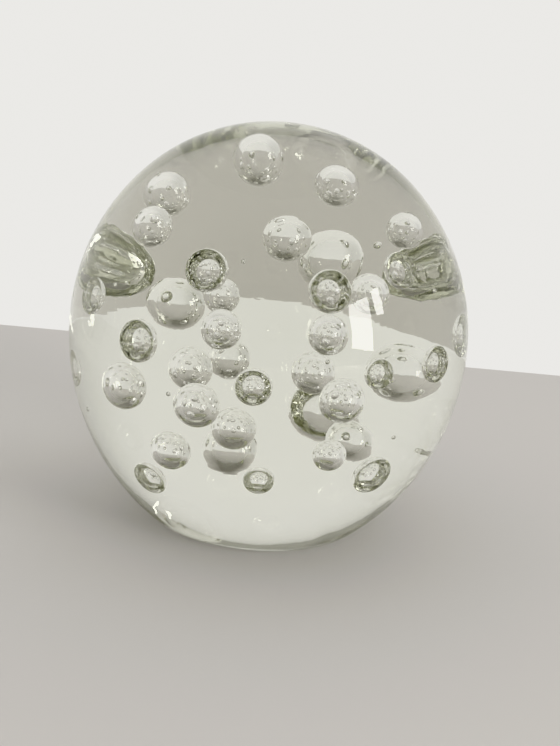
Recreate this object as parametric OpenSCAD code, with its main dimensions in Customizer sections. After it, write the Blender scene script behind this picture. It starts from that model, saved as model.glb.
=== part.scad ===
// Bubble paperweight: one clear lump of glass, a little taller than a ball, ground flat
// underneath. Round bubbles of air are trapped in it in three layers, one inside another.
//
// The origin is the middle of the flat base and +Z is up. Sizes are in millimetres, and
// turns are in degrees about +Z, from 0 at the front (-Y) round towards the right (+X).

/* [Globe] */
// Widest width of the glass
globe_w = 89; // [74:1:107]
// Height of the glass, from the base to the crown
globe_h = 89; // [74:1:107]
// Height of the widest place above the base
widest_h = 42; // [35:1:51]
// Width of the flat ground base
base_w = 50; // [42:1:60]
// Width of the bevel ground round the edge of the base
base_bevel = 0.8; // [0.3:0.1:2]

/* [Bubbles] */
// Width of a large bubble
large_d = 8.3; // [6:0.1:10]
// Width of a middling bubble
medium_d = 7.2; // [5:0.1:8.7]
// Width of a small bubble
small_d = 6; // [4:0.1:7.5]
// Width of a seed, the fine bubble that glassmakers try to avoid
seed_d = 0.9; // [0.5:0.1:1.5]
// How many seeds there are
seed_count = 16; // [1:1:24]

/* [Layers] */
// Size of the outer layer of bubbles, as a share of the globe
outer_layer = 0.84; // [0.8:0.01:0.86]
// Size of the middle layer of bubbles, as a share of the globe
middle_layer = 0.58; // [0.55:0.01:0.61]
// Size of the inner layer of bubbles, as a share of the globe
inner_layer = 0.34; // [0.32:0.01:0.36]
// Size of the layer that the seeds lie in, as a share of the globe
seed_layer = 0.71; // [0.7:0.01:0.72]

/* [Hidden] */

// The outline is three arcs in one vertical plane, smooth where they meet: the flank, from
// the base up to the widest place, the shoulder above it, and the crown over the top. The
// shoulder passes into the crown where the wall leans at join_angle.
globe_r = globe_w / 2;
base_r = base_w / 2;
flare = globe_r - base_r;
flank_r = (flare * flare + widest_h * widest_h) / (2 * flare);
rise = globe_h - widest_h;
join_angle = 45;
join_share = tan(join_angle / 2);
crown_r = (globe_r - rise * join_share) / (1 - join_share);
shoulder_r = globe_r + (rise - crown_r) / tan(join_angle);
crown_h = globe_h - crown_r;
join_h = crown_h + crown_r * sin(join_angle);
join_r = crown_r * cos(join_angle);

// The bevel leans half as much as the flank does where it meets the base.
bevel_angle = (90 - asin(widest_h / flank_r)) / 2;

// Each row is one bubble: its turn, its level on the globe's skin as a percentage of the
// globe's height, and its width. The bubble lies straight in from there, on its own layer.
outer_upper = [
    [-22, 72, large_d], [18, 70, large_d], [46, 74, medium_d], [96, 72, medium_d],
    [148, 75, large_d], [-162, 71, medium_d], [-108, 76, medium_d]
];
outer_waist = [
    [-66, 58, medium_d], [-40, 52, large_d], [-3, 46, medium_d], [34, 50, small_d],
    [58, 50, medium_d], [78, 54, large_d], [116, 49, medium_d], [155, 49, medium_d],
    [-152, 46, large_d], [-106, 54, medium_d]
];
outer_lower = [
    [-41, 14, medium_d], [1, 20, small_d], [41, 21, large_d], [86, 27, medium_d],
    [124, 20, medium_d], [168, 24, large_d], [-140, 22, medium_d], [-104, 26, medium_d],
    [-78, 36, medium_d]
];
middle_upper = [
    [-19, 59, medium_d], [24, 60, medium_d], [46, 72, medium_d], [107, 81, small_d],
    [99, 97, medium_d], [-165, 92, medium_d], [-85, 80, medium_d], [-115, 84, medium_d]
];
middle_waist = [
    [32, 37, large_d], [136, 32, large_d], [164, 58, large_d], [-152, 43, medium_d],
    [-27, 31, large_d]
];
middle_lower = [
    [-47, 11, medium_d], [34, 16, small_d], [145, 12, small_d], [-168, 6, medium_d],
    [-68, 30, large_d]
];
inner = [
    [31, 39, medium_d], [-54, 32, medium_d], [-39, 75, small_d], [-158, 24, small_d],
    [-29, 0, medium_d], [170, 92, medium_d]
];

// The seeds wind down round the globe, each one golden_angle on from the last.
golden_angle = 137.5;
seed_low = 10;
seed_high = 90;

curve_fn = 96;

// Radius of the globe's skin at height h
function skin_r(h) =
    h < widest_h ? globe_r - flank_r + sqrt(flank_r * flank_r - pow(widest_h - h, 2))
    : h < join_h ? globe_r - shoulder_r + sqrt(shoulder_r * shoulder_r - pow(h - widest_h, 2))
    : sqrt(crown_r * crown_r - pow(h - crown_h, 2));

// Place on a layer that lies straight in from the skin at this turn and level
function in_layer(turn, level, layer) =
    let (h = globe_h * level / 100, r = layer * skin_r(h))
    [r * sin(turn), -r * cos(turn), widest_h + layer * (h - widest_h)];

// One arc of the outline, filled in to the axis: a circle at [x, h], kept from low to high,
// and the straight strip beside the axis out to inner_r
module outline_arc(radius, x, h, low, high, inner_r) {
    intersection() {
        translate([x, h]) circle(r = radius, $fn = curve_fn);
        translate([0, low]) square([globe_w, high - low]);
    }
    translate([0, low]) square([inner_r, high - low]);
}

// Half of the globe's upright section
module globe_outline() {
    difference() {
        union() {
            outline_arc(flank_r, globe_r - flank_r, widest_h, 0, widest_h, base_r);
            outline_arc(shoulder_r, globe_r - shoulder_r, widest_h, widest_h, join_h, join_r);
            intersection() {
                translate([0, crown_h]) circle(r = crown_r, $fn = curve_fn);
                translate([0, join_h]) square([globe_w, globe_h]);
            }
        }
        translate([base_r - base_bevel, 0])
            rotate(bevel_angle)
                translate([0, -globe_r])
                    square([globe_r, globe_r]);
    }
}

// One layer's share of bubbles, from its rows
module bubbles(rows, layer) {
    for (row = rows)
        translate(in_layer(row[0], row[1], layer))
            sphere(d = row[2], $fn = curve_fn);
}

module outer_upper_bubbles() { color("white") bubbles(outer_upper, outer_layer); }
module outer_waist_bubbles() { color("white") bubbles(outer_waist, outer_layer); }
module outer_lower_bubbles() { color("white") bubbles(outer_lower, outer_layer); }
module middle_upper_bubbles() { color("gainsboro") bubbles(middle_upper, middle_layer); }
module middle_waist_bubbles() { color("gainsboro") bubbles(middle_waist, middle_layer); }
module middle_lower_bubbles() { color("gainsboro") bubbles(middle_lower, middle_layer); }
module inner_bubbles() { color("lightgray") bubbles(inner, inner_layer); }

module seeds() {
    color("white")
        for (i = [0 : seed_count - 1])
            translate(in_layer(
                i * golden_angle,
                seed_low + (seed_high - seed_low) * (i + 0.5) / seed_count,
                seed_layer
            ))
                sphere(d = seed_d, $fn = curve_fn);
}

// The glass, with a hollow for every bubble
module glass_globe() {
    color([0.86, 0.9, 0.87, 0.35])
        difference() {
            rotate_extrude($fn = curve_fn) globe_outline();
            outer_upper_bubbles();
            outer_waist_bubbles();
            outer_lower_bubbles();
            middle_upper_bubbles();
            middle_waist_bubbles();
            middle_lower_bubbles();
            inner_bubbles();
            seeds();
        }
}

glass_globe();
outer_upper_bubbles();
outer_waist_bubbles();
outer_lower_bubbles();
middle_upper_bubbles();
middle_waist_bubbles();
middle_lower_bubbles();
inner_bubbles();
seeds();
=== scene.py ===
"""Bubble paperweight: the looks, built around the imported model.

The glass is one closed mesh: the globe's skin, and inside it a wall for every hollow. The
air in the hollows is a second set of pieces, one for each group of bubbles. Every size and
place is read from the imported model, in metres, with +Z up and the front at -Y.
"""

import logging
import math
from dataclasses import dataclass, field
from enum import Enum

import bpy
import numpy as np
from mathutils import Euler, Matrix, Vector


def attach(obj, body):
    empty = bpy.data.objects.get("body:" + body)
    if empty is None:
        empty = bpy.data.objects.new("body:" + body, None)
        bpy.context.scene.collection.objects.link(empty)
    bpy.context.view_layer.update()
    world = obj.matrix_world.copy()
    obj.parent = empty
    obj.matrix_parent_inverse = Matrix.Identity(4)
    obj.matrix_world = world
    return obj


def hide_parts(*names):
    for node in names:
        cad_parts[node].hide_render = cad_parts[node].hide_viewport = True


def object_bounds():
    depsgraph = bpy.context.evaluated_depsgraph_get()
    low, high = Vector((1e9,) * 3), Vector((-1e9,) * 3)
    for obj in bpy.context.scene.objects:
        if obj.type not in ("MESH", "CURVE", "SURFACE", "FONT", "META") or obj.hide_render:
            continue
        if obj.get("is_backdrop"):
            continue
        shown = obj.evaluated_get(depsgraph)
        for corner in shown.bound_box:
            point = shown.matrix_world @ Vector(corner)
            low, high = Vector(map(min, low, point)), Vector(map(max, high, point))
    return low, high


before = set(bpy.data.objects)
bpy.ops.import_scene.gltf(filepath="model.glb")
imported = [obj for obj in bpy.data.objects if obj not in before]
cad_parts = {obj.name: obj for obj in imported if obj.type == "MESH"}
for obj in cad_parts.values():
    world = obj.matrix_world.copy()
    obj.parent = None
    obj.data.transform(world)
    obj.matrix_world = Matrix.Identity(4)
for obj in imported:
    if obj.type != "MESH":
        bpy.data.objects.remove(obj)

LOG = logging.getLogger("paperweight")
MM = 0.001


class Slot(Enum):
    """The record's material slots."""

    GLASS = "glass"
    AIR = "trapped_air"


class Layer(Enum):
    """The model's groups of bubbles, by the names of their nodes."""

    OUTER_UPPER = "outer_upper_bubbles"
    OUTER_WAIST = "outer_waist_bubbles"
    OUTER_LOWER = "outer_lower_bubbles"
    MIDDLE_UPPER = "middle_upper_bubbles"
    MIDDLE_WAIST = "middle_waist_bubbles"
    MIDDLE_LOWER = "middle_lower_bubbles"
    INNER = "inner_bubbles"
    SEEDS = "seeds"


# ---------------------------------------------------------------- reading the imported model


def node_points(node: str) -> np.ndarray:
    """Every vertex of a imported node.

    Args:
        node: The node's name.

    Returns:
        One row of x, y and z for each vertex.
    """
    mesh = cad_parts[node].data
    points = np.zeros(len(mesh.vertices) * 3)
    mesh.vertices.foreach_get("co", points)
    return points.reshape(-1, 3)


def node_islands(node: str) -> list[np.ndarray]:
    """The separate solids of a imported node.

    Args:
        node: The node's name.

    Returns:
        The vertices of each solid, in the order that the node holds them.
    """
    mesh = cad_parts[node].data
    points = node_points(node)
    weld = np.unique(np.round(points, 6), axis=0, return_inverse=True)[1].ravel()
    edges = np.zeros(len(mesh.edges) * 2, int)
    mesh.edges.foreach_get("vertices", edges)
    ends = weld[edges.reshape(-1, 2)]
    label = np.arange(weld.max() + 1)
    while True:
        least = np.minimum(label[ends[:, 0]], label[ends[:, 1]])
        spread = label.copy()
        np.minimum.at(spread, ends[:, 0], least)
        np.minimum.at(spread, ends[:, 1], least)
        spread = spread[spread]
        if (spread == label).all():
            break
        label = spread
    solid = label[weld]
    return [points[solid == name] for name in dict.fromkeys(solid.tolist())]


@dataclass(frozen=True)
class Hollow:
    """One round hollow in the glass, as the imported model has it."""

    centre: Vector
    radius: float

    @classmethod
    def around(cls, points: np.ndarray) -> "Hollow":
        """The ball that a solid's vertices lie on.

        Args:
            points: The vertices of one bubble.

        Returns:
            The hollow with that centre and radius.
        """
        low, high = points.min(0), points.max(0)
        return cls(Vector((low + high) / 2), float((high - low).max()) / 2)


# ---------------------------------------------------------------------------------- meshes


@dataclass
class MeshBuilder:
    """Collects the vertices and faces of one mesh."""

    vertices: list[np.ndarray] = field(default_factory=list)
    faces: list[tuple[int, ...]] = field(default_factory=list)
    count: int = 0

    def add(self, points: np.ndarray, faces: list[tuple[int, ...]], inside_out: bool = False) -> None:
        """Adds one closed surface.

        Args:
            points: Its vertices.
            faces: Its faces, as indices into points.
            inside_out: True if the surface is the wall of a hollow.
        """
        order = -1 if inside_out else 1
        self.faces += [tuple(i + self.count for i in face[::order]) for face in faces]
        self.vertices.append(points)
        self.count += len(points)

    def build(self, name: str, material: bpy.types.Material) -> bpy.types.Object:
        """Makes the smooth-shaded object.

        Args:
            name: The piece's name.
            material: Its finish.

        Returns:
            The object, linked to the scene.
        """
        mesh = bpy.data.meshes.new(name)
        mesh.from_pydata(np.concatenate(self.vertices).tolist(), [], self.faces)
        mesh.shade_smooth()
        mesh.materials.append(material)
        piece = bpy.data.objects.new(name, mesh)
        bpy.context.scene.collection.objects.link(piece)
        return piece


def ball_surface(steps: int) -> tuple[np.ndarray, list[tuple[int, ...]]]:
    """A ball of radius 1 in even quads, blown up from a cube's six sides.

    Args:
        steps: How many quads lie along a side.

    Returns:
        The vertices and the faces, which look outwards.
    """
    index: dict[tuple[float, ...], int] = {}
    points: list[np.ndarray] = []
    faces: list[tuple[int, ...]] = []
    spread = [math.tan(math.pi / 4 * (2 * i / steps - 1)) for i in range(steps + 1)]

    def corner(side: Matrix, i: int, j: int) -> int:
        """Index of one grid point of a side, shared with the sides next to it."""
        place = np.array(side @ Vector((spread[i], spread[j], 1)))
        key = tuple(np.round(place, 6) + 0.0)
        if key not in index:
            index[key] = len(points)
            points.append(place / np.linalg.norm(place))
        return index[key]

    quarter = math.pi / 2
    turns = [(0, 0), (quarter, 0), (2 * quarter, 0), (3 * quarter, 0), (0, quarter), (0, -quarter)]
    for about_x, about_y in turns:
        side = Euler((about_x, about_y, 0)).to_matrix()
        for i in range(steps):
            for j in range(steps):
                ring = ((i, j), (i + 1, j), (i + 1, j + 1), (i, j + 1))
                faces.append(tuple(corner(side, a, b) for a, b in ring))
    return np.array(points), faces


@dataclass(frozen=True)
class BubbleShape:
    """How far a blown bubble is from a true ball."""

    steps: int
    squash: float = 0.02
    clearance: float = 0.015 * MM

    def wall(self, hollow: Hollow, number: int, shrink: float = 0.0) -> np.ndarray:
        """The vertices of one bubble's wall, inside the ball that the model gives it.

        Args:
            hollow: The ball.
            number: The bubble's number, which sets how it is out of round.
            shrink: How far the wall stands in from the glass.

        Returns:
            One row for each vertex.
        """
        rng = np.random.default_rng(number)
        lean = Euler(rng.uniform(0, math.pi, 3)).to_matrix()
        radii = hollow.radius * (1 - self.squash * rng.uniform(0, 1, 3)) - shrink
        turn = np.array(lean)
        ball = ball_surface(self.steps)[0]
        return (ball @ turn * radii) @ turn.T + np.array(hollow.centre)


@dataclass(frozen=True)
class GlobeOutline:
    """Half of the globe's upright section: a flat base, a bevel and three arcs."""

    radius: float
    height: float
    widest: float
    face_radius: float
    bevel_radius: float
    bevel_height: float
    join_lean: float = math.radians(45)
    base_rings: int = 14
    bevel_rings: int = 5
    arc_step: float = math.radians(2.25)

    @classmethod
    def measured(cls, node: str) -> "GlobeOutline":
        """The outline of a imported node.

        Args:
            node: The globe's node.

        Returns:
            The outline with the node's own sizes.
        """
        points = max(node_islands(node), key=np.ptp)
        reach, height = np.hypot(points[:, 0], points[:, 1]), points[:, 2]
        least = 1e-6
        on_face = height < least
        face_radius = reach[on_face].max()
        upper = height[(reach > face_radius + least) & ~on_face].min()
        return cls(
            radius=reach.max(),
            height=height.max(),
            widest=float(np.median(height[reach > reach.max() - least])),
            face_radius=face_radius,
            bevel_radius=reach[abs(height - upper) < least].max(),
            bevel_height=upper,
        )

    def arc(self, centre: tuple[float, float], radius: float, low: float, high: float) -> np.ndarray:
        """Points along one arc, without its first.

        Args:
            centre: The arc's centre, as distance from the axis and height.
            radius: The arc's radius.
            low: The angle above the level at which it starts.
            high: The angle at which it ends.

        Returns:
            One row of distance from the axis and height for each point.
        """
        count = max(2, round((high - low) / self.arc_step))
        angle = np.linspace(low, high, count + 1)[1:]
        return np.stack([centre[0] + radius * np.cos(angle), centre[1] + radius * np.sin(angle)], 1)

    def rings(self) -> np.ndarray:
        """Points from the base's middle out, up the wall and in to the crown.

        Returns:
            One row of distance from the axis and height for each ring.
        """
        flare, low = self.radius - self.bevel_radius, self.widest - self.bevel_height
        flank = (flare**2 + low**2) / (2 * flare)
        rise, share = self.height - self.widest, math.tan(self.join_lean / 2)
        crown = (self.radius - rise * share) / (1 - share)
        shoulder = self.radius + (rise - crown) / math.tan(self.join_lean)
        face = np.stack([np.linspace(0, self.face_radius, self.base_rings), np.zeros(self.base_rings)], 1)
        bevel = np.linspace(face[-1], [self.bevel_radius, self.bevel_height], self.bevel_rings)[1:]
        start = -math.asin(low / flank)
        return np.concatenate([
            face,
            bevel,
            self.arc((self.radius - flank, self.widest), flank, start, 0),
            self.arc((self.radius - shoulder, self.widest), shoulder, 0, self.join_lean),
            self.arc((0, self.height - crown), crown, self.join_lean, math.pi / 2),
        ])


# --------------------------------------------------------------------------- shader groups


@dataclass
class Tree:
    """A node tree, with short ways to add and join its nodes."""

    nodes: bpy.types.NodeTree

    def add(self, kind: str, **inputs: object) -> bpy.types.Node:
        """Adds a node.

        Args:
            kind: The node's type, without its ShaderNode prefix.
            inputs: Values or sockets for its inputs, by their names with _ for a space.

        Returns:
            The node.
        """
        node = self.nodes.nodes.new("ShaderNode" + kind)
        for name, value in inputs.items():
            self.set(node, name.replace("_", " "), value)
        return node

    def set(self, node: bpy.types.Node, name: str | int, value: object) -> None:
        """Gives an input a value, or joins a socket to it."""
        if isinstance(value, bpy.types.NodeSocket):
            self.nodes.links.new(value, node.inputs[name])
        else:
            node.inputs[name].default_value = value

    def maths(self, operation: str, *values: object) -> bpy.types.NodeSocket:
        """Adds a Math node.

        Args:
            operation: Its operation.
            values: Values or sockets for its inputs.

        Returns:
            Its output.
        """
        node = self.nodes.nodes.new("ShaderNodeMath")
        node.operation = operation
        for i, value in enumerate(values):
            self.set(node, i, value)
        return node.outputs[0]

    def span(
        self, value: object, low: float, high: float, to_low: float = 0.0, to_high: float = 1.0
    ) -> bpy.types.NodeSocket:
        """Maps a value smoothly from one range to another.

        Args:
            value: The value or socket.
            low: Where the range starts.
            high: Where it ends.
            to_low: What the start becomes.
            to_high: What the end becomes.

        Returns:
            The mapped value's socket.
        """
        node = self.nodes.nodes.new("ShaderNodeMapRange")
        node.interpolation_type = "SMOOTHSTEP"
        names = ("Value", "From Min", "From Max", "To Min", "To Max")
        for name, number in zip(names, (value, low, high, to_low, to_high)):
            self.set(node, name, number)
        return node.outputs[0]

    def blend(self, factor: object, first: object, second: object) -> bpy.types.NodeSocket:
        """Mixes two colours.

        Args:
            factor: The second colour's share.
            first: The first colour.
            second: The second colour.

        Returns:
            The mixed colour's socket.
        """
        node = self.nodes.nodes.new("ShaderNodeMix")
        node.data_type = "RGBA"
        self.set(node, 0, factor)
        self.set(node, 6, first)
        self.set(node, 7, second)
        return node.outputs[2]

    def place(self) -> bpy.types.NodeSocket:
        """The point's place in the object, in metres."""
        return self.add("TexCoord").outputs["Object"]

    def noise(self, place: object, scale: object, detail: float, distortion: float) -> bpy.types.NodeSocket:
        """Adds a noise texture.

        Args:
            place: Where it is read.
            scale: How fine it is.
            detail: How many finer layers it has.
            distortion: How far it is pulled about.

        Returns:
            Its value's socket.
        """
        node = self.add("TexNoise", Vector=place, Scale=scale, Detail=detail, Distortion=distortion)
        return node.outputs[0]


class GroupSocket(Enum):
    """The kinds of socket that a shader group has."""

    VALUE = "NodeSocketFloat"
    VECTOR = "NodeSocketVector"


@dataclass
class ShaderGroup:
    """An effect with named inputs and outputs, built once for all the finishes."""

    name: str
    inputs: dict[str, GroupSocket]
    output: str

    def start(self) -> tuple[bpy.types.NodeTree, Tree, bpy.types.NodeOutputs, bpy.types.Node]:
        """Makes the empty group.

        Returns:
            The group, its tree, its inputs' sockets and its output node.
        """
        group = bpy.data.node_groups.new(self.name, "ShaderNodeTree")
        for name, kind in self.inputs.items():
            group.interface.new_socket(name, in_out="INPUT", socket_type=kind.value)
        group.interface.new_socket(self.output, in_out="OUTPUT", socket_type=GroupSocket.VALUE.value)
        source = group.nodes.new("NodeGroupInput")
        return group, Tree(group), source.outputs, group.nodes.new("NodeGroupOutput")

    def use(self, tree: Tree, **values: object) -> bpy.types.NodeSocket:
        """Places the group in a material.

        Args:
            tree: The material's tree.
            values: Values or sockets for the group's inputs.

        Returns:
            The group's output.
        """
        if self.name not in bpy.data.node_groups:
            self.make()
        node = tree.nodes.nodes.new("ShaderNodeGroup")
        node.node_tree = bpy.data.node_groups[self.name]
        for name, value in values.items():
            tree.set(node, name.replace("_", " "), value)
        return node.outputs[self.output]

    def make(self) -> None:
        """Builds the group's nodes."""
        raise NotImplementedError


class CordRipple(ShaderGroup):
    """Cords: faint ropes of slightly different glass that wind round as the gather is turned."""

    BROAD_DETAIL, BROAD_PULL = 1.0, 1.2
    FINE_DETAIL, FINE_PULL = 2.0, 0.6
    FINE_SCALE, FINE_SHARE = 3.1, 0.25

    def __init__(self) -> None:
        """Names the group's sockets."""
        kinds = {"Place": GroupSocket.VECTOR, "Scale": GroupSocket.VALUE, "Stretch": GroupSocket.VALUE}
        super().__init__("cord ripple", kinds, "Height")

    def make(self) -> None:
        """Winds a soft noise, drawn out along the level, into ropes."""
        _, tree, given, out = self.start()
        drawn = tree.add("VectorMath")
        drawn.operation = "MULTIPLY"
        stretch = tree.add("CombineXYZ", X=1.0, Y=1.0, Z=given["Stretch"])
        tree.set(drawn, 0, given["Place"])
        tree.set(drawn, 1, stretch.outputs[0])
        finer = tree.maths("MULTIPLY", given["Scale"], self.FINE_SCALE)
        broad = tree.noise(drawn.outputs[0], given["Scale"], self.BROAD_DETAIL, self.BROAD_PULL)
        fine = tree.noise(drawn.outputs[0], finer, self.FINE_DETAIL, self.FINE_PULL)
        tree.set(out, 0, tree.maths("MULTIPLY_ADD", fine, self.FINE_SHARE, broad))


class FaintHaze(ShaderGroup):
    """Haze: soft patches of handling film outside, or of furnace vapour inside a bubble."""

    DETAIL, PULL = 5.0, 0.8
    PATCH_FROM, PATCH_TO = 0.5, 0.75

    def __init__(self) -> None:
        """Names the group's sockets."""
        kinds = {"Place": GroupSocket.VECTOR, "Scale": GroupSocket.VALUE, "Amount": GroupSocket.VALUE}
        super().__init__("faint haze", kinds, "Mask")

    def make(self) -> None:
        """Keeps the upper part of a broken noise, as patches."""
        _, tree, given, out = self.start()
        cloud = tree.noise(given["Place"], given["Scale"], self.DETAIL, self.PULL)
        patch = tree.span(cloud, self.PATCH_FROM, self.PATCH_TO)
        tree.set(out, 0, tree.maths("MULTIPLY", patch, given["Amount"]))


class RubMarks(ShaderGroup):
    """Rub marks: fine crossing scratches from sliding about on a desk."""

    TURNS = (12, 67, 131)
    DRAWN_OUT = 24
    DETAIL, PULL = 2.0, 0.3
    LINE_FROM, LINE_TO = 0.63, 0.7

    def __init__(self) -> None:
        """Names the group's sockets."""
        kinds = {"Place": GroupSocket.VECTOR, "Scale": GroupSocket.VALUE, "Amount": GroupSocket.VALUE}
        super().__init__("rub marks", kinds, "Mask")

    def make(self) -> None:
        """Draws a thin-lined noise out in three directions and keeps the strongest line."""
        _, tree, given, out = self.start()
        strongest: bpy.types.NodeSocket | None = None
        for turn in self.TURNS:
            laid = tree.add("Mapping", Vector=given["Place"])
            tree.set(laid, "Rotation", (0, 0, math.radians(turn)))
            tree.set(laid, "Scale", (1, self.DRAWN_OUT, 1))
            streak = tree.noise(laid.outputs[0], given["Scale"], self.DETAIL, self.PULL)
            line = tree.span(streak, self.LINE_FROM, self.LINE_TO)
            strongest = line if strongest is None else tree.maths("MAXIMUM", strongest, line)
        tree.set(out, 0, tree.maths("MULTIPLY", strongest, given["Amount"]))


CORD_RIPPLE = CordRipple()
FAINT_HAZE = FaintHaze()
RUB_MARKS = RubMarks()


# -------------------------------------------------------------------------------- finishes


def new_material(name: str) -> tuple[bpy.types.Material, Tree, bpy.types.Node, bpy.types.Node]:
    """An empty material with a Principled shader.

    Args:
        name: The material's name.

    Returns:
        The material, its tree, its shader and its output node.
    """
    material = bpy.data.materials.new(name)
    material.use_nodes = True
    material.node_tree.nodes.clear()
    tree = Tree(material.node_tree)
    shader, out = tree.add("BsdfPrincipled"), tree.add("OutputMaterial")
    tree.set(out, "Surface", shader.outputs[0])
    return material, tree, shader, out


@dataclass(frozen=True)
class ClearGlass:
    """Clear soda-lime glass, fire-polished, with a ground and polished base."""

    name: str = "clear glass"
    ior: float = 1.5
    clean: tuple[float, ...] = (1.0, 1.0, 1.0, 1.0)
    filmed: tuple[float, ...] = (0.975, 0.978, 0.97, 1.0)
    tint: tuple[float, ...] = (0.9, 0.904, 0.86, 1.0)
    density: float = 24.0
    film_roughness: float = 0.025
    rub_roughness: float = 0.12
    cord_height: float = 0.03 * MM
    base_band: float = 0.6 * MM
    film_scale: float = 55.0
    rub_scale: float = 90.0
    cord_scale: float = 60.0
    cord_stretch: float = 2.4

    def material(self) -> bpy.types.Material:
        """Builds the material.

        Returns:
            The finished material.
        """
        material, tree, shader, out = new_material(self.name)
        place = tree.place()
        film = FAINT_HAZE.use(tree, Place=place, Scale=self.film_scale, Amount=1.0)
        height = tree.add("SeparateXYZ", Vector=place).outputs[2]
        base = tree.span(height, self.base_band, 0.0)
        rubs = RUB_MARKS.use(tree, Place=place, Scale=self.rub_scale, Amount=base)
        roughness = tree.maths("MULTIPLY", film, self.film_roughness)
        roughness = tree.maths("MULTIPLY_ADD", rubs, self.rub_roughness, roughness)
        cords = CORD_RIPPLE.use(tree, Place=place, Scale=self.cord_scale, Stretch=self.cord_stretch)
        bump = tree.add("Bump", Strength=1.0, Distance=self.cord_height, Height=cords)
        tree.set(shader, "Base Color", tree.blend(film, self.clean, self.filmed))
        tree.set(shader, "Roughness", roughness)
        tree.set(shader, "Normal", bump.outputs[0])
        tree.set(shader, "IOR", self.ior)
        tree.set(shader, "Transmission Weight", 1.0)
        depth = tree.add("VolumeAbsorption", Color=self.tint, Density=self.density)
        tree.set(out, "Volume", depth.outputs[0])
        return material


@dataclass(frozen=True)
class TrappedAirFinish:
    """The air in a bubble, which carries a breath of furnace vapour and bends no light."""

    name: str = "trapped air"
    ior: float = 1.0003
    clean: tuple[float, ...] = (1.0, 1.0, 1.0, 1.0)
    vapour: tuple[float, ...] = (0.96, 0.965, 0.97, 1.0)
    vapour_scale: float = 240.0

    def material(self) -> bpy.types.Material:
        """Builds the material.

        Returns:
            The finished material.
        """
        material, tree, shader, _ = new_material(self.name)
        haze = FAINT_HAZE.use(tree, Place=tree.place(), Scale=self.vapour_scale, Amount=1.0)
        tree.set(shader, "Base Color", tree.blend(haze, self.clean, self.vapour))
        tree.set(shader, "Roughness", 0.0)
        tree.set(shader, "IOR", self.ior)
        tree.set(shader, "Transmission Weight", 1.0)
        return material


# ------------------------------------------------------------------------------ the object


@dataclass
class GlassGlobe:
    """The one piece of glass: its skin, and a wall for every hollow."""

    outline: GlobeOutline
    hollows: dict[Layer, list[Hollow]]
    node: str = "glass_globe"
    around: int = 160
    sway: float = 0.1 * MM
    oval: tuple[float, ...] = (1.0, 2, 0.6, 30)
    three_sided: tuple[float, ...] = (0.6, 3, 2.1, -55)
    bubble: BubbleShape = BubbleShape(steps=16)
    seed: BubbleShape = BubbleShape(steps=5)

    def skin(self) -> tuple[np.ndarray, list[tuple[int, ...]]]:
        """The skin, turned from the outline and a little out of true, as hand-shaped glass is.

        Returns:
            The vertices and the faces, which look outwards.
        """
        rings = self.outline.rings()
        reach, height = rings[1:-1].T
        turn = np.linspace(0, 2 * math.pi, self.around, endpoint=False)
        grid = np.stack([
            np.outer(reach, np.cos(turn)),
            np.outer(reach, np.sin(turn)),
            np.outer(height, np.ones(self.around)),
        ], 2)
        waves = (self.oval, self.three_sided)
        lean = sum(
            share * np.sin(lobes * turn + start + twist * height[:, None])
            for share, lobes, start, twist in waves
        )
        spread = 2 * sum(wave[0] for wave in waves)
        above = np.clip(height / self.outline.widest, 0, 1)[:, None]
        inward = self.sway * (lean / spread - 0.5) * above
        grid[:, :, :2] *= (1 + inward / np.maximum(reach[:, None], self.sway))[:, :, None]
        points = np.concatenate([[[0, 0, rings[0, 1]]], grid.reshape(-1, 3), [[0, 0, rings[-1, 1]]]])
        last, top = len(reach) - 1, len(points) - 1
        faces: list[tuple[int, ...]] = []
        for i in range(self.around):
            j = (i + 1) % self.around
            faces.append((0, 1 + j, 1 + i))
            faces.append((1 + last * self.around + i, 1 + last * self.around + j, top))
            for ring in range(last):
                low, high = 1 + ring * self.around, 1 + (ring + 1) * self.around
                faces.append((low + i, low + j, high + j, high + i))
        return points, faces

    def build(self, finish: ClearGlass) -> bpy.types.Object:
        """Builds and dresses the glass.

        Args:
            finish: The glass's finish.

        Returns:
            The piece.
        """
        builder = MeshBuilder()
        builder.add(*self.skin())
        number = 0
        for layer, hollows in self.hollows.items():
            shape = self.seed if layer is Layer.SEEDS else self.bubble
            faces = ball_surface(shape.steps)[1]
            for hollow in hollows:
                builder.add(shape.wall(hollow, number), faces, inside_out=True)
                number += 1
        piece = builder.build("clear_glass_globe", finish.material())
        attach(piece, "root")
        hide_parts(self.node)
        return piece


@dataclass
class TrappedAir:
    """The air in the hollows, one piece for each group."""

    hollows: dict[Layer, list[Hollow]]
    bubble: BubbleShape = BubbleShape(steps=16)
    seed: BubbleShape = BubbleShape(steps=5)

    def build(self, finish: TrappedAirFinish) -> list[bpy.types.Object]:
        """Builds and dresses the air.

        Args:
            finish: The air's finish.

        Returns:
            The pieces.
        """
        material = finish.material()
        pieces: list[bpy.types.Object] = []
        number = 0
        for layer, hollows in self.hollows.items():
            shape = self.seed if layer is Layer.SEEDS else self.bubble
            faces = ball_surface(shape.steps)[1]
            builder = MeshBuilder()
            for hollow in hollows:
                builder.add(shape.wall(hollow, number, shape.clearance), faces)
                number += 1
            piece = builder.build("air_in_" + layer.value, material)
            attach(piece, "root")
            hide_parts(layer.value)
            pieces.append(piece)
        return pieces


# ------------------------------------------------------------------------------ the studio


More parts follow.
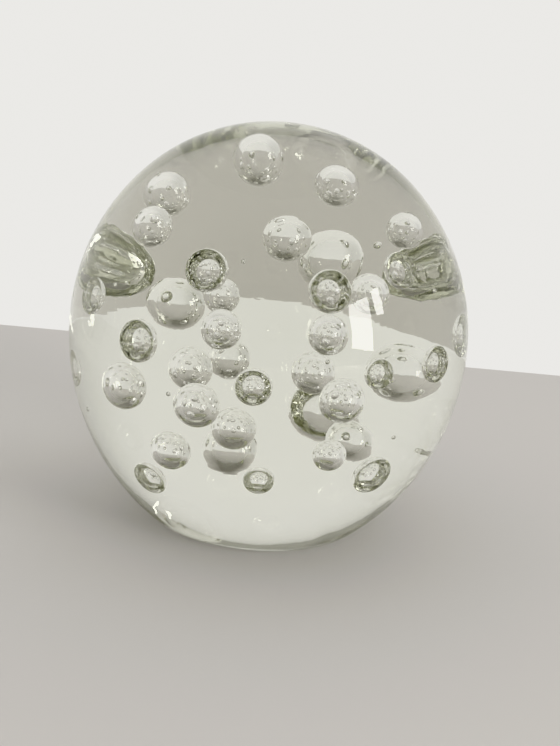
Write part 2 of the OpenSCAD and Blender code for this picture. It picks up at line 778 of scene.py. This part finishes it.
@dataclass(frozen=True)
class SoftBox:
    """A soft panel of light that looks at the glass."""

    name: str
    turn: float
    lift: float
    distance: float
    width: float
    height: float
    power: float
    slant: float = 0.0
    colour: tuple[float, float, float] = (1.0, 1.0, 1.0)

    def build(self, aim: Vector) -> None:
        """Hangs the panel.

        Args:
            aim: The point that it looks at.
        """
        lamp = bpy.data.lights.new(self.name, "AREA")
        lamp.shape = "RECTANGLE"
        lamp.size, lamp.size_y = self.width, self.height
        lamp.energy, lamp.color = self.power, self.colour
        turn, lift = math.radians(self.turn), math.radians(self.lift)
        away = Vector((math.sin(turn) * math.cos(lift), -math.cos(turn) * math.cos(lift), math.sin(lift)))
        panel = bpy.data.objects.new(self.name, lamp)
        panel.location = aim + away * self.distance
        facing = away.to_track_quat("Z", "Y") @ Euler((0, math.radians(self.slant), 0)).to_quaternion()
        panel.rotation_euler = facing.to_euler()
        bpy.context.scene.collection.objects.link(panel)


@dataclass
class Studio:
    """The plain pale floor, the soft light round it and the camera."""

    middle: Vector
    floor_side: float = 0.6
    floor_far: float = 0.146
    floor_drop: float = 0.08 * MM
    floor_colour: tuple[float, ...] = (0.66, 0.64, 0.62, 1.0)
    floor_roughness: float = 0.75
    room_light: float = 0.9
    front_light: float = 0.45
    dim_from: float = -0.75
    dim_to: float = -0.15
    right_from: float = 0.3
    right_to: float = 0.95
    right_share: float = 0.8
    room_colour: tuple[float, ...] = (1.0, 0.99, 0.96, 1.0)
    camera_place: tuple[float, float, float] = (0.0, -0.246, 0.1034)
    camera_dip: float = 15.95
    camera_turn: float = 0.78
    camera_roll: float = 5.43
    camera_lens: float = 54.1
    sensor: float = 36.0
    near_clip: float = 0.01
    glass_bounces: int = 48
    mirror_bounces: int = 24
    clear_bounces: int = 16
    panels: tuple[SoftBox, ...] = (
        SoftBox("window", 51, 14, 0.9, 0.25, 0.34, 3.2, 40, (1.0, 0.99, 0.97)),
        SoftBox("side window", 64, 22, 0.9, 0.1, 0.18, 0.75, 40, (1.0, 0.99, 0.97)),
    )

    def floor(self) -> None:
        """Lays a plain pale floor, which ends a little way behind the glass."""
        mesh = bpy.data.meshes.new("pale_floor")
        side, near, far = self.floor_side, -self.floor_side, self.floor_far
        ring = [(-side, near, 0), (side, near, 0), (side, far, 0), (-side, far, 0)]
        mesh.from_pydata(ring, [], [(0, 1, 2, 3)])
        floor = bpy.data.objects.new("pale_floor", mesh)
        floor.location.z = -self.floor_drop
        bpy.context.scene.collection.objects.link(floor)
        material, tree, shader, _ = new_material("pale floor")
        tree.set(shader, "Base Color", self.floor_colour)
        tree.set(shader, "Roughness", self.floor_roughness)
        mesh.materials.append(material)
        floor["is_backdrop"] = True

    def light(self) -> None:
        """Fills the room with soft light, which is dimmer on the camera's side."""
        world = bpy.data.worlds.new("soft room")
        bpy.context.scene.world = world
        world.use_nodes = True
        world.node_tree.nodes.clear()
        tree = Tree(world.node_tree)
        way = tree.add("SeparateXYZ", Vector=tree.add("TexCoord").outputs["Generated"])
        depth = tree.span(way.outputs[1], self.dim_from, self.dim_to, self.front_light, self.room_light)
        across = tree.span(way.outputs[0], self.right_from, self.right_to, 1.0, self.right_share)
        level = tree.maths("MULTIPLY", depth, across)
        glow = tree.add("Background", Color=self.room_colour, Strength=level)
        out = tree.add("OutputWorld")
        tree.set(out, "Surface", glow.outputs[0])
        for panel in self.panels:
            panel.build(self.middle)

    def camera(self) -> None:
        """Sets up the camera."""
        lens = bpy.data.cameras.new("camera")
        lens.sensor_width = self.sensor
        lens.lens = self.camera_lens
        lens.clip_start = self.near_clip
        camera = bpy.data.objects.new("camera", lens)
        camera.location = self.camera_place
        aim = Euler((math.radians(90 - self.camera_dip), 0, -math.radians(self.camera_turn)))
        tilt = Matrix.Rotation(math.radians(self.camera_roll), 3, "Z")
        camera.rotation_euler = (aim.to_matrix() @ tilt).to_euler()
        bpy.context.scene.collection.objects.link(camera)
        bpy.context.scene.camera = camera

    def exposure(self) -> None:
        """Lets light pass through many walls of glass before it is given up."""
        cycles = bpy.context.scene.cycles
        cycles.max_bounces = self.glass_bounces
        cycles.transmission_bounces = self.glass_bounces
        cycles.glossy_bounces = self.mirror_bounces
        cycles.transparent_max_bounces = self.clear_bounces
        bpy.context.scene.view_settings.view_transform = "Khronos PBR Neutral"

    def build(self) -> None:
        """Sets up the whole studio."""
        self.floor()
        self.light()
        self.camera()
        self.exposure()


def main() -> None:
    """Builds the paperweight piece by piece, then the studio round it."""
    logging.basicConfig(level=logging.INFO, format="%(name)s: %(message)s")
    packed_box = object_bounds()
    hollows = {
        layer: [Hollow.around(points) for points in node_islands(layer.value)] for layer in Layer
    }
    outline = GlobeOutline.measured("glass_globe")
    LOG.info("outline: %s", outline)
    globe = GlassGlobe(outline, hollows).build(ClearGlass())
    LOG.info("%s: %d faces", globe.name, len(globe.data.polygons))
    for piece in TrappedAir(hollows).build(TrappedAirFinish()):
        LOG.info("%s: %d faces", piece.name, len(piece.data.polygons))
    low, high = packed_box
    Studio(middle=(Vector(low) + Vector(high)) / 2).build()


if __name__ == "__main__":
    main()
